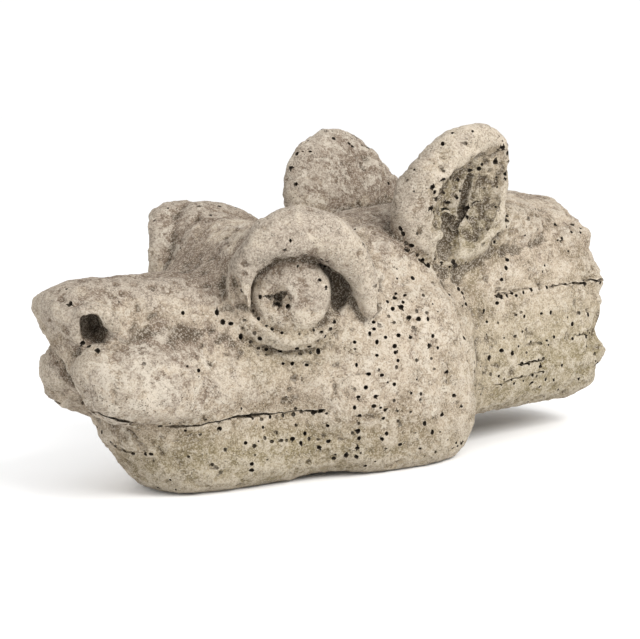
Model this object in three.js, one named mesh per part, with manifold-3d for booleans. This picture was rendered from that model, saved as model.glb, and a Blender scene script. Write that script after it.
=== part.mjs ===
// The head of a limestone gargoyle: a beast with a blunt snout, hooded eyes and upright ears, on the stub of
// neck by which it was once built into a wall. It is carved from one block, so it is one solid. It faces -Y and
// stands on its jaw, with +Z up and the origin under the middle of its bounding box.
//
// The head is built up as a carver reads it, from rounded masses that run into one another under one skin. The
// hoods, lids and ears are added to it, and the sockets, ear cups, nostrils, pupils and mouth are cut back. All
// sizes are millimetres. Until it is centred at the end, Y is measured from a line across the head just in
// front of the ears.

import * as THREE from 'three';
import { mergeVertices } from 'three/addons/utils/BufferGeometryUtils.js';
import Module from 'manifold-3d';

const wasm = await Module();
wasm.setup();

// Driving dimensions
const BED_Z = 0;
const WALL_Y = 358;
const NOSE_Y = -352;
const CHIN_Y = -286;
const EAR_Y = 130;
const NECK = { halfWidth: 133, underside: 32, top: 307 };
const SKULL = { halfWidth: 142, middle: 180, top: 302 };
const JAW = { halfWidth: 152, middle: 38, halfHeight: 43 };
const MOUTH_Z = 91;
const SNOUT = { halfWidth: 50, top: 261, nose: 232 };
const LIP = { x: 60, z: 142, radius: 52 };
const BROW = { x: 106, z: 285, radius: 40 };
const EYE = { x: 130, y: -122, z: 226, radius: 43, yaw: 56, droop: 0.05 };
const SOCKET = { radius: 50, depth: 22 };
const HOOD = { yaw: 80, radius: 60 };
const PUPIL = { radius: 17, depth: 12 };
const EAR = { root: 98, tip: 143, height: 396 };
const EAR_CUP_RADIUS = 38;

// Fineness of a roll: facets round it and along it
const COARSE = { round: 10, along: 8 };
const MEDIUM = { round: 16, along: 12 };
const FINE = { round: 24, along: 16 };

// The skin: facets round it, over its front and along it, and how often its bumps are eased
const SKIN = { round: 48, over: 16, along: 33, easings: 2 };
const CORE = { front: -232, z: 166 };

const STONE_COLOUR = 0xb0a591;
const STEP = 1e-3;

const direction = (yaw) => {
  const angle = THREE.MathUtils.degToRad(yaw);
  return new THREE.Vector3(Math.sin(angle), -Math.cos(angle), 0);
};
const EYE_CENTRE = new THREE.Vector3(EYE.x, EYE.y, EYE.z);
const GAZE = direction(EYE.yaw).setZ(-EYE.droop).normalize();
const gazePoint = (distance) => EYE_CENTRE.clone().addScaledVector(GAZE, distance).toArray();

const curveThrough = (points) =>
  new THREE.CatmullRomCurve3(points.map((p) => new THREE.Vector3(...p)), false, 'catmullrom', 0.5);

// A closed geometry as a manifold solid, turned the right way out.
function solid(geometry) {
  const bare = geometry.clone();
  bare.deleteAttribute('normal');
  bare.deleteAttribute('uv');
  const merged = mergeVertices(bare, STEP);
  const vertProperties = merged.attributes.position.array;
  const make = (triVerts) => new wasm.Manifold(new wasm.Mesh({ numProp: 3, vertProperties, triVerts }));
  const faces = new Uint32Array(merged.index.array);
  const made = make(faces);
  return made.volume() > 0 ? made : make(faces.reverse());
}

// A roll of stone: a sphere drawn out along a spine. At each point of the spine it has a half-width along
// `side` and a half-height across it. `crown` and `keel` say how square its upper and lower halves are, from
// 2 for an ellipse, and `blunt` says how square its ends are.
function roll({ spine, wide, tall, side = [1, 0, 0], crown = 2.4, keel = crown, blunt = 3, grain = MEDIUM }) {
  const curve = curveThrough(spine);
  const sizes = curveThrough(wide.map((width, i) => [width, tall[i], 0]));
  const geometry = new THREE.SphereGeometry(1, grain.round, grain.along);
  const position = geometry.attributes.position;
  const sideways = new THREE.Vector3(...side);
  const hand = new THREE.Vector3().crossVectors(sideways, curve.getTangent(0.5)).z < 0 ? -1 : 1;
  for (let i = 0; i < position.count; i++) {
    const polar = Math.acos(THREE.MathUtils.clamp(position.getY(i), -1, 1));
    const angle = Math.atan2(position.getZ(i), position.getX(i));
    const t = (polar / Math.PI + (1 - Math.cos(polar)) / 2) / 2;
    const swell = Math.max(0, 1 - Math.abs(2 * t - 1) ** blunt) ** (1 / blunt);
    const ahead = curve.getPoint(Math.min(t + STEP, 1));
    const tangent = ahead.sub(curve.getPoint(Math.max(t - STEP, 0))).normalize();
    const across = sideways.clone().addScaledVector(tangent, -tangent.dot(sideways)).normalize();
    const upwards = new THREE.Vector3().crossVectors(across, tangent).multiplyScalar(hand);
    const power = Math.sin(angle) >= 0 ? crown : keel;
    const [cosine, sine] = [Math.cos(angle), Math.sin(angle)];
    const reach = swell * (Math.abs(cosine) ** power + Math.abs(sine) ** power) ** (-1 / power);
    const size = sizes.getPoint(t);
    const point = curve.getPoint(t);
    point.addScaledVector(across, size.x * cosine * reach);
    point.addScaledVector(upwards, size.y * sine * reach);
    position.setXYZ(i, point.x, point.y, point.z);
  }
  return solid(geometry);
}

// Points round the eye, at given distances from its centre and in front of it. They lie in an upright plane
// facing `yaw`, and run from one angle to another; 0 degrees is to the rear and 90 is up.
function roundEye(yaw, from, to, distances, offsets) {
  const rear = direction(yaw + 90);
  const front = direction(yaw);
  const last = distances.length - 1;
  return distances.map((distance, i) => {
    const angle = THREE.MathUtils.degToRad(THREE.MathUtils.lerp(from, to, i / last));
    return EYE_CENTRE.clone()
      .addScaledVector(rear, distance * Math.cos(angle))
      .addScaledVector(front, offsets[i])
      .add(new THREE.Vector3(0, 0, distance * Math.sin(angle)))
      .toArray();
  });
}

const both = (mass) => [mass, mass.mirror([1, 0, 0])];

function block(low, high) {
  const size = high.map((value, i) => value - low[i]);
  const geometry = new THREE.BoxGeometry(...size);
  geometry.translate(...low.map((value, i) => value + size[i] / 2));
  return solid(geometry);
}

function neck() {
  const middle = (NECK.top + NECK.underside) / 2;
  const half = (NECK.top - NECK.underside) / 2;
  const stops = [20, 120, 250, WALL_Y + 70];
  return roll({
    spine: stops.map((y) => [0, y, middle]),
    wide: [0.92, 0.97, 1, 1].map((part) => part * NECK.halfWidth),
    tall: stops.map(() => half),
    crown: 2.2, keel: 6, blunt: 8, grain: FINE,
  });
}

function skull() {
  const half = SKULL.top - SKULL.middle;
  const rise = [0, 2, -2, -5];
  return roll({
    spine: [-150, -80, 30, 175].map((y, i) => [0, y, SKULL.middle + rise[i]]),
    wide: [0.63, 0.79, 1, 0.86].map((part) => part * SKULL.halfWidth),
    tall: [0.69, 0.85, 1, 0.97].map((part) => part * half),
    crown: 2.6, blunt: 3.4, grain: FINE,
  });
}

function cheeks() {
  return both(roll({
    spine: [[96, -105, 104], [110, -30, 106], [120, 60, 108], [114, 136, 113]],
    wide: [38, 49, 53, 48], tall: [88, 110, 118, 114], crown: 2.7, keel: 3.2, blunt: 3.8, grain: FINE,
  }));
}

function snout() {
  const half = [38, 47, 53, 60];
  const fall = [5, 0, 5, 7];
  return roll({
    spine: [NOSE_Y - 12, -300, -210, -100].map((y, i) => [0, y, SNOUT.top - fall[i] - half[i]]),
    wide: [1, 1.2, 1.6, 2.16].map((part) => part * SNOUT.halfWidth),
    tall: half, crown: 2.9, blunt: 6, grain: FINE,
  });
}

// The nose is a bar across the front of the snout, with a tapering bridge from its middle down to the lips.
function nose() {
  const wing = SNOUT.halfWidth + 8;
  const bar = roll({
    spine: [[-wing, NOSE_Y + 14, SNOUT.nose - 8], [0, NOSE_Y, SNOUT.nose], [wing, NOSE_Y + 14, SNOUT.nose - 11]],
    wide: [28, 29, 28], tall: [24, 23, 25], side: [0, 1, 0], crown: 2.6, blunt: 3.6,
  });
  const bridge = roll({
    spine: [[0, NOSE_Y + 4, SNOUT.nose - 7], [0, NOSE_Y + 24, MOUTH_Z + 33]],
    wide: [46, 22], tall: [22, 16], blunt: 4,
  });
  return [bar, bridge];
}

function upperLips() {
  return both(roll({
    spine: [[32, NOSE_Y - 2, LIP.z + 4], [LIP.x, -296, LIP.z], [74, -210, LIP.z - 10], [96, -90, LIP.z - 18]],
    wide: [38, 50, 42, 32], tall: [42, LIP.radius, 48, 40], crown: 2.2, blunt: 2.8, grain: FINE,
  }));
}

function lowerJaw() {
  const teeth = roll({
    spine: [[0, CHIN_Y - 26, 86], [0, -264, 78], [0, -190, 72], [0, -60, 66]],
    wide: [40, 76, 106, 127], tall: [27, 34, 36, 40], crown: 2.8, blunt: 3.4,
  });
  const jaw = roll({
    spine: [[0, CHIN_Y, JAW.middle], [0, -226, 34], [0, -120, 40], [0, 90, 58]],
    wide: [0.33, 0.6, 0.82, 1].map((part) => part * JAW.halfWidth),
    tall: [0.6, 0.92, 1.1, 1.48].map((part) => part * JAW.halfHeight),
    crown: 2.9, keel: 2.8, blunt: 3,
  });
  return [teeth, jaw];
}

// The stone inside the muzzle, which the lips, nose and jaw are carved on.
function muzzleCore() {
  return roll({
    spine: [[0, NOSE_Y + 40, 150], [0, -200, 130], [0, -40, 140]],
    wide: [30, 70, 100], tall: [60, 80, 100], crown: 3, blunt: 5, grain: COARSE,
  });
}

// The brows, the swelling between them, and the stone round each eye that carries its hood.
function brows() {
  const between = roll({
    spine: [[-92, -116, 272], [0, -102, 262], [92, -118, 266]],
    wide: [52, 58, 52], tall: [44, 42, 44], side: [0, 1, 0], blunt: 5,
  });
  const swell = [0.82, 1.05, 1.08, 0.8].map((part) => part * BROW.radius);
  const near = roll({
    spine: [[BROW.x - 12, -150, 264], [BROW.x, -116, BROW.z + 1], [116, -66, 280], [126, -20, 252]],
    wide: [32, 38, 38, 28], tall: swell, crown: 2.3, blunt: 2.8,
  });
  const far = roll({
    spine: [[20 - BROW.x, -136, 272], [-BROW.x, -110, BROW.z + 6], [-110, -60, 282], [-118, -10, 258]],
    wide: [34, 38, 40, 30], tall: swell, crown: 2.9, blunt: 3.6,
  });
  const orbits = both(roll({
    spine: [gazePoint(-100), gazePoint(-16)],
    wide: [70, 62], tall: [64, 60], side: [0, 0, 1], blunt: 5,
  }));
  return [between, near, far, ...orbits];
}

function sockets() {
  return both(roll({
    spine: [gazePoint(-SOCKET.depth), gazePoint(90)],
    wide: [0.88, 1].map((part) => part * SOCKET.radius),
    tall: [0.88, 1].map((part) => part * SOCKET.radius),
    side: [0, 0, 1], blunt: 10, grain: FINE,
  }));
}

// Each eye is a drum standing in its socket, with a lid under it and a thick hood over it.
function eyes() {
  const radii = [EYE.radius, EYE.radius];
  const drum = roll({
    spine: [gazePoint(-60), gazePoint(0)], wide: radii, tall: radii, side: [0, 0, 1], crown: 2, blunt: 8,
  });
  const lid = roll({
    spine: roundEye(60, 186, 330, [62, 57, 55, 58, 62], [-6, -8, -10, -16, -30]),
    wide: [12, 14, 14, 14, 12], tall: [8, 10, 10, 10, 8],
    side: GAZE.toArray(), blunt: 4, grain: COARSE,
  });
  const spread = [0.9, 0.98, 1.12, 1.24, 1.5, 2.03].map((part) => part * HOOD.radius);
  const hood = roll({
    spine: roundEye(HOOD.yaw, 208, -16, spread, [-26, -18, -8, -6, -4, -10]),
    wide: [24, 26, 28, 28, 25, 16], tall: [11, 15, 21, 23, 21, 13],
    side: direction(HOOD.yaw).toArray(), crown: 2.2,
  });
  return [...both(drum), ...both(lid), ...both(hood)];
}

function pupils() {
  return both(roll({
    spine: [gazePoint(-PUPIL.depth), gazePoint(PUPIL.depth)],
    wide: [PUPIL.radius / 2, PUPIL.radius], tall: [PUPIL.radius / 2, PUPIL.radius],
    side: [0, 0, 1], crown: 2, blunt: 6, grain: COARSE,
  }));
}

// The outermost point of a solid on each ray of a fan. The rays leave a level line through the middle of the
// head: over the front they spread from its end point, and behind that they leave it square.
function skin(masses) {
  const target = new THREE.Mesh(
    toGeometry(wasm.Manifold.union(masses)), new THREE.MeshBasicMaterial({ side: THREE.DoubleSide }),
  );
  const caster = new THREE.Raycaster();
  const rings = SKIN.over + SKIN.along;
  const geometry = new THREE.SphereGeometry(1, SKIN.round, rings + 1);
  const ray = (ring, angle) => {
    const tilt = Math.min(ring / SKIN.over, 1) * Math.PI / 2;
    const travel = Math.max(0, (ring - SKIN.over) / SKIN.along);
    const origin = new THREE.Vector3(0, THREE.MathUtils.lerp(CORE.front, WALL_Y + 20, travel), CORE.z);
    const way = new THREE.Vector3(
      Math.sin(tilt) * Math.cos(angle), -Math.cos(tilt), Math.sin(tilt) * Math.sin(angle),
    );
    return { origin, way };
  };
  const turn = (i) => ((i % SKIN.round) / SKIN.round) * 2 * Math.PI;
  let reach = [];
  for (let ring = 0; ring <= rings; ring++) {
    const row = [];
    for (let i = 0; i < SKIN.round; i++) {
      const { origin, way } = ray(ring, turn(i));
      caster.set(origin, way);
      const hits = caster.intersectObject(target);
      row.push(hits.length ? hits[hits.length - 1].distance : 0);
    }
    reach.push(row);
  }
  for (let pass = 0; pass < SKIN.easings; pass++) {
    reach = reach.map((row, ring) => row.map((own, i) => {
      const before = reach[Math.max(ring - 1, 0)][i];
      const after = reach[Math.min(ring + 1, rings)][i];
      const left = row[(i + SKIN.round - 1) % SKIN.round];
      const right = row[(i + 1) % SKIN.round];
      return own / 2 + (before + after + left + right) / 8;
    }));
  }
  const position = geometry.attributes.position;
  const perRow = SKIN.round + 1;
  for (let index = 0; index < position.count; index++) {
    const ring = Math.floor(index / perRow);
    const i = index % perRow;
    const { origin, way } = ray(Math.min(ring, rings), turn(i));
    const isPastEnd = ring > rings;
    const distance = isPastEnd ? 0 : reach[ring][ring === 0 ? 0 : i % SKIN.round];
    const point = origin.addScaledVector(way, distance);
    position.setXYZ(index, point.x, point.y, point.z);
  }
  return solid(geometry);
}

// An upright ear, leaning outwards and back; `lean` is how far its tip stands behind its root.
function ear(hand, lean, depths) {
  const root = 232;
  const rise = EAR.height - root;
  const heights = [0, 0.41, 0.72, 1];
  const slant = [0, 0.21, 0.54, 1];
  const spine = heights.map((part, i) => [
    hand * THREE.MathUtils.lerp(EAR.root, EAR.tip, slant[i]),
    EAR_Y - 18 + lean * slant[i],
    root + rise * part,
  ]);
  return roll({ spine, wide: [44, 38, 30, 20], tall: depths, crown: 2.3, grain: FINE });
}

function ears() {
  return [ear(1, 72, [66, 83, 66, 36]), ear(-1, 38, [74, 94, 86, 46])];
}

function earCups() {
  const half = EAR_CUP_RADIUS;
  const cup = (hand, backs) => roll({
    spine: [[hand * 156, backs[0], 252], [hand * 151, backs[1], 316], [hand * 160, backs[2], 374]],
    wide: [0.8 * half, half, 0.64 * half], tall: [0.8 * half, 1.05 * half, 0.68 * half], blunt: 2.4,
  });
  return [cup(1, [84, 134, 188]), cup(-1, [84, 120, 150])];
}

function nostrils() {
  return both(roll({
    spine: [[30, -318, 214], [62, -340, 206], [86, -356, 196]],
    wide: [14, 16, 22], tall: [18, 25, 30], side: [0, 1, 0], grain: COARSE,
  }));
}

// The line of the mouth, a groove let in between the upper lip and the teeth on each side.
function mouth() {
  return both(roll({
    spine: [[30, -370, 98], [92, -324, 94], [122, -240, MOUTH_Z], [136, -150, MOUTH_Z], [148, -86, 88]],
    wide: [28, 32, 30, 28, 18], tall: [8, 8, 7, 7, 6], crown: 2, blunt: 8, grain: COARSE,
  }));
}

// Everything below the bed the head stands on, and behind the wall it was built into.
function outside() {
  const far = 700;
  return [block([-far, -far, -far], [far, far, BED_Z]), block([-far, WALL_Y, -far], [far, far, far])];
}

function carve() {
  const masses = [
    neck(), skull(), ...cheeks(), snout(), ...nose(), ...upperLips(), ...lowerJaw(), muzzleCore(),
    ...brows(),
  ];
  const head = skin(masses).subtract(wasm.Manifold.union(sockets()));
  const full = wasm.Manifold.union([head, ...eyes(), ...ears()]);
  const cuts = [...pupils(), ...earCups(), ...nostrils(), ...mouth(), ...outside()];
  return full.subtract(wasm.Manifold.union(cuts));
}

// The largest piece of a solid, without any flake the cuts have left beside it.
function largest(made) {
  return made.decompose().reduce((best, piece) => (piece.volume() > best.volume() ? piece : best));
}

function toGeometry(made) {
  const mesh = made.getMesh();
  const geometry = new THREE.BufferGeometry();
  geometry.setAttribute('position', new THREE.BufferAttribute(new Float32Array(mesh.vertProperties), 3));
  geometry.setIndex(new THREE.BufferAttribute(new Uint32Array(mesh.triVerts), 1));
  geometry.computeVertexNormals();
  return geometry;
}

function gargoyleHead() {
  const geometry = toGeometry(largest(carve()));
  geometry.computeBoundingBox();
  const middle = geometry.boundingBox.getCenter(new THREE.Vector3());
  geometry.translate(-middle.x, -middle.y, -BED_Z);
  const stone = new THREE.MeshStandardMaterial({ color: STONE_COLOUR, roughness: 0.95, metalness: 0 });
  const mesh = new THREE.Mesh(geometry, stone);
  mesh.name = 'gargoyle_head';
  return mesh;
}

const part = new THREE.Group();
part.name = 'stone_gargoyle';
part.add(gargoyleHead());

export default part;
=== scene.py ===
"""A weathered limestone gargoyle head: a beast with hooded drum eyes, pricked ears and a stub of neck.

The head is one carved stone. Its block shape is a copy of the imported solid, which is then carved further,
weathered, bored by mason bees and dressed with a limestone finish. Carving sizes are millimetres from the
carver's datum: X to the beast's left, Y to its rear from a line just in front of the ears, Z up from the bed.
"""

import logging
import math
from dataclasses import dataclass, field
from enum import Enum
from typing import Iterable, Sequence

import bpy
import numpy as np
from mathutils import Matrix, Vector
from mathutils.bvhtree import BVHTree

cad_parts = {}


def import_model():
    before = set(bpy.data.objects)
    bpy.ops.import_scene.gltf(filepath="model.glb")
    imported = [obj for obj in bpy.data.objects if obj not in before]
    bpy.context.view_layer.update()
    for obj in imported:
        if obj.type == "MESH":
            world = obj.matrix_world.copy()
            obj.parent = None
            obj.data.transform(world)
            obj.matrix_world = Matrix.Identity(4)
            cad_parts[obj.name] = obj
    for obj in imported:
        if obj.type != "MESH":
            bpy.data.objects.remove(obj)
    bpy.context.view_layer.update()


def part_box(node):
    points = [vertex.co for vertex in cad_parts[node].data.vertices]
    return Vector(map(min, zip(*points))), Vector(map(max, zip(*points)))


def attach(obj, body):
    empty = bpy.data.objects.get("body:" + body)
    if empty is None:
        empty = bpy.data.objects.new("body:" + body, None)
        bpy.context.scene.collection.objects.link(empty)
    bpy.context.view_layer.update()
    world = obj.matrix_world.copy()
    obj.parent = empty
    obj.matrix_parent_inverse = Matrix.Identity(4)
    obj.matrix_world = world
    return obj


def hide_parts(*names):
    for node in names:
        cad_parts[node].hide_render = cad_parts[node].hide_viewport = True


LOG = logging.getLogger("gargoyle")

NODE = "gargoyle_head"
BODY = "root"
MM = 0.001
WALL_MM = 358.0

Point = tuple[float, float, float]


class Hand(Enum):
    """The two sides of the beast."""

    LEFT = 1
    RIGHT = -1


class Bench:
    """The carver's hand tools: selecting, joining, fusing, easing and cutting meshes."""

    @staticmethod
    def pick(*pieces: bpy.types.Object) -> None:
        """Select only these objects and make the first one active."""
        if bpy.context.mode != "OBJECT":
            bpy.ops.object.mode_set(mode="OBJECT")
        bpy.ops.object.select_all(action="DESELECT")
        for piece in pieces:
            piece.select_set(True)
        if pieces:
            bpy.context.view_layer.objects.active = pieces[0]

    @staticmethod
    def points(piece: bpy.types.Object) -> np.ndarray:
        """The piece's vertices as rows of x, y, z in metres."""
        flat = np.empty(len(piece.data.vertices) * 3)
        piece.data.vertices.foreach_get("co", flat)
        return flat.reshape(-1, 3)

    @staticmethod
    def place(piece: bpy.types.Object, points: np.ndarray) -> None:
        """Move the piece's vertices to these points."""
        piece.data.vertices.foreach_set("co", np.ascontiguousarray(points).ravel())
        piece.data.update()

    @staticmethod
    def normals(piece: bpy.types.Object) -> np.ndarray:
        """The piece's vertex normals as rows."""
        flat = np.empty(len(piece.data.vertices) * 3)
        piece.data.vertices.foreach_get("normal", flat)
        return flat.reshape(-1, 3)

    @classmethod
    def surface(cls, piece: bpy.types.Object) -> BVHTree:
        """The piece's faces as a tree that finds the nearest place on them."""
        faces = [tuple(p.vertices) for p in piece.data.polygons]
        return BVHTree.FromPolygons(cls.points(piece).tolist(), faces)

    @classmethod
    def face_outwards(cls, piece: bpy.types.Object) -> None:
        """Turn every face of a closed piece to point out."""
        cls.pick(piece)
        bpy.ops.object.mode_set(mode="EDIT")
        bpy.ops.mesh.select_all(action="SELECT")
        bpy.ops.mesh.normals_make_consistent(inside=False)
        bpy.ops.object.mode_set(mode="OBJECT")

    @classmethod
    def join(cls, pieces: Sequence[bpy.types.Object]) -> bpy.types.Object:
        """Make one object of several, keeping the first one's name."""
        cls.pick(*pieces)
        if len(pieces) > 1:
            bpy.ops.object.join()
        return pieces[0]

    @classmethod
    def apply(cls, piece: bpy.types.Object, kind: str, **settings: object) -> bpy.types.Object:
        """Add a modifier of that kind to the piece, set it and apply it.

        Args:
            piece: The object to change.
            kind: Blender's name for the modifier type.
            settings: Values of the modifier's properties.

        Returns:
            The same object.
        """
        cls.pick(piece)
        modifier = piece.modifiers.new(kind.lower(), kind)
        for name, value in settings.items():
            setattr(modifier, name, value)
        bpy.ops.object.modifier_apply(modifier=modifier.name)
        return piece

    @classmethod
    def fuse(cls, pieces: Sequence[bpy.types.Object], grain_mm: float, easings: int) -> bpy.types.Object:
        """Melt overlapping pieces into one skin of even facets and ease its creases.

        Args:
            pieces: Closed objects that overlap.
            grain_mm: Size of the skin's facets.
            easings: How many times the skin is smoothed.

        Returns:
            The fused object, which was the first piece.
        """
        whole = cls.join(pieces)
        cls.apply(whole, "REMESH", mode="VOXEL", voxel_size=grain_mm * MM, adaptivity=0.0)
        if easings:
            cls.apply(whole, "SMOOTH", factor=0.5, iterations=easings)
        return whole

    @classmethod
    def batches(cls, tools: Iterable[bpy.types.Object]) -> list[list[bpy.types.Object]]:
        """Group tools so that no two boxes in a group touch."""
        groups: list[list[tuple[np.ndarray, np.ndarray, bpy.types.Object]]] = []
        for tool in tools:
            points = cls.points(tool)
            low, high = points.min(axis=0), points.max(axis=0)
            for group in groups:
                if all((low > other[1]).any() or (high < other[0]).any() for other in group):
                    group.append((low, high, tool))
                    break
            else:
                groups.append([(low, high, tool)])
        return [[entry[2] for entry in group] for group in groups]

    @classmethod
    def whole(cls, stone: bpy.types.Object) -> bpy.types.Object:
        """Keep the main body of a stone and clear away the crumbs that cutting left loose.

        Args:
            stone: The stone, which may be in several loose parts.

        Returns:
            The largest part.
        """
        cls.pick(stone)
        bpy.ops.object.mode_set(mode="EDIT")
        bpy.ops.mesh.select_all(action="SELECT")
        bpy.ops.mesh.separate(type="LOOSE")
        bpy.ops.object.mode_set(mode="OBJECT")
        parts = sorted(bpy.context.selected_objects, key=lambda part: len(part.data.polygons))
        main = parts.pop()
        for crumb in parts:
            bpy.data.meshes.remove(crumb.data)
        LOG.info("%d crumbs cleared", len(parts))
        return main

    @classmethod
    def cut(cls, stone: bpy.types.Object, tools: Iterable[bpy.types.Object]) -> bpy.types.Object:
        """Cut each tool's shape out of the stone and throw the tool away."""
        for batch in cls.batches(tools):
            tool = cls.join(batch)
            cls.apply(stone, "BOOLEAN", object=tool, operation="DIFFERENCE", solver="MANIFOLD")
            bpy.data.objects.remove(tool)
        return stone


@dataclass
class Datum:
    """Where the carver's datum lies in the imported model."""

    shift: float = 0.0

    def metres(self, points: Sequence[Point] | np.ndarray) -> np.ndarray:
        """Points in millimetres from the datum as points in the model, in metres."""
        return np.asarray(points, float) * MM + np.array([0.0, self.shift, 0.0])

    def millimetres(self, points: np.ndarray) -> np.ndarray:
        """Points in the model, in metres, as millimetres from the datum."""
        return (points - np.array([0, self.shift, 0])) / MM


DATUM = Datum()


def flowing(stops: Sequence[float] | Sequence[Point], where: np.ndarray) -> np.ndarray:
    """Values on a smooth curve through some stops.

    Args:
        stops: Numbers or points, evenly spaced from 0 to 1.
        where: Places on the curve, from 0 to 1.

    Returns:
        One row for each place.
    """
    knots = np.asarray(stops, float)
    if knots.ndim == 1:
        knots = knots[:, None]
    last = len(knots) - 1
    scaled = np.clip(where, 0, 1) * last
    first = np.minimum(scaled.astype(int), last - 1)
    part = (scaled - first)[:, None]
    padded = np.vstack([2 * knots[0] - knots[1], knots, 2 * knots[-1] - knots[-2]])
    before, here, there, after = (padded[first + step] for step in range(4))
    line = 2 * here + (there - before) * part
    bend = (2 * before - 5 * here + 4 * there - after) * part**2
    return (line + bend + (3 * here - before - 3 * there + after) * part**3) / 2


@dataclass
class Roll:
    """A roll of stone, or of air: a ball drawn out along a spine.

    At each stop of the spine it has a half-width along `side` and a half-height across it. `crown` and `keel`
    say how square its two halves are, from 2 for an ellipse, and `blunt` says how square its ends are.
    """

    spine: Sequence[Point]
    wide: Sequence[float]
    tall: Sequence[float]
    side: Point = (1.0, 0.0, 0.0)
    crown: float = 2.2
    keel: float | None = None
    blunt: float = 3.0
    facets: int = 40
    rings: int = 32

    def mirrored(self) -> "Roll":
        """The same roll on the other side of the head."""
        flip = [(-x, y, z) for x, y, z in self.spine]
        side = (-self.side[0], self.side[1], self.side[2])
        return Roll(
            flip, self.wide, self.tall, side, self.crown, self.keel, self.blunt, self.facets, self.rings
        )

    def on(self, hand: Hand) -> "Roll":
        """The roll on that side of the head; it is given for the left."""
        return self if hand is Hand.LEFT else self.mirrored()

    def cast(self, name: str) -> bpy.types.Object:
        """Make the roll as a closed mesh.

        Args:
            name: The new object's name.

        Returns:
            The object, at the origin, with its place in its mesh.
        """
        Bench.pick()
        bpy.ops.mesh.primitive_uv_sphere_add(segments=self.facets, ring_count=self.rings, radius=1)
        piece = bpy.context.object
        piece.name = name
        ball = Bench.points(piece)
        polar = np.arccos(np.clip(ball[:, 2], -1, 1))
        turn = np.arctan2(ball[:, 1], ball[:, 0])
        where = (polar / np.pi + (1 - np.cos(polar)) / 2) / 2
        swell = np.clip(1 - np.abs(2 * where - 1) ** self.blunt, 0, 1) ** (1 / self.blunt)
        step = 1e-3
        along = flowing(self.spine, np.clip(where + step, 0, 1))
        along = along - flowing(self.spine, np.clip(where - step, 0, 1))
        along /= np.linalg.norm(along, axis=1)[:, None]
        sideways = np.asarray(self.side, float)
        across = sideways - along * (along @ sideways)[:, None]
        across /= np.linalg.norm(across, axis=1)[:, None]
        upright = np.cross(across, along)
        if upright[:, 2].mean() < 0:
            upright = -upright
        cosine, sine = np.cos(turn), np.sin(turn)
        power = np.where(sine >= 0, self.crown, self.keel or self.crown)
        reach = swell * (np.abs(cosine) ** power + np.abs(sine) ** power) ** (-1 / power)
        width = flowing(self.wide, where)[:, 0] * cosine * reach
        height = flowing(self.tall, where)[:, 0] * sine * reach
        skin = flowing(self.spine, where) + across * width[:, None] + upright * height[:, None]
        Bench.place(piece, DATUM.metres(skin))
        Bench.face_outwards(piece)
        return piece


def groove(path: Sequence[Point], radius: float, depth: float = 1.0, facets: int = 10) -> Roll:
    """A chisel groove of air along a path, `depth` times as deep as it is wide."""
    stops = [radius * 0.6] + [radius] * (len(path) - 2) + [radius * 0.6]
    return Roll(
        path, [depth * r for r in stops], stops, crown=2.0, blunt=6, facets=facets, rings=8 * len(path)
    )


class Grain:
    """Smooth random values in space, the same on every run."""

    TABLE = 4096
    STEPS = (73856093, 19349663, 83492791)

    def __init__(self, seed: int) -> None:
        """Fill the table of random values from a seed."""
        self.table = np.random.default_rng(seed).random(self.TABLE) * 2 - 1

    def at(self, points: np.ndarray, size_mm: float) -> np.ndarray:
        """One value from -1 to 1 for each point, varying over about `size_mm`."""
        scaled = points / (size_mm * MM)
        cell = np.floor(scaled).astype(np.int64)
        part = scaled - cell
        part = part * part * (3 - 2 * part)
        total = np.zeros(len(points))
        for corner in range(8):
            offset = np.array([corner & 1, corner >> 1 & 1, corner >> 2 & 1])
            mixed = (cell + offset) * np.array(self.STEPS)
            index = (mixed[:, 0] ^ mixed[:, 1] ^ mixed[:, 2]) & (self.TABLE - 1)
            weight = np.prod(np.where(offset == 1, part, 1 - part), axis=1)
            total += weight * self.table[index]
        return total

    def layered(self, points: np.ndarray, size_mm: float, layers: int = 3) -> np.ndarray:
        """The sum of several sizes of grain, each half the size and half the strength of the last."""
        return sum(self.at(points, size_mm / 2**n) / 2**n for n in range(layers))


def ease(value: np.ndarray, low: float, high: float) -> np.ndarray:
    """A smooth step from 0 at `low` to 1 at `high`."""
    part = np.clip((value - low) / (high - low), 0, 1)
    return part * part * (3 - 2 * part)


def heading(yaw: float) -> np.ndarray:
    """The level direction that faces that many degrees round from the beast's front to its left."""
    angle = math.radians(yaw)
    return np.array([math.sin(angle), -math.cos(angle), 0.0])


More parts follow.
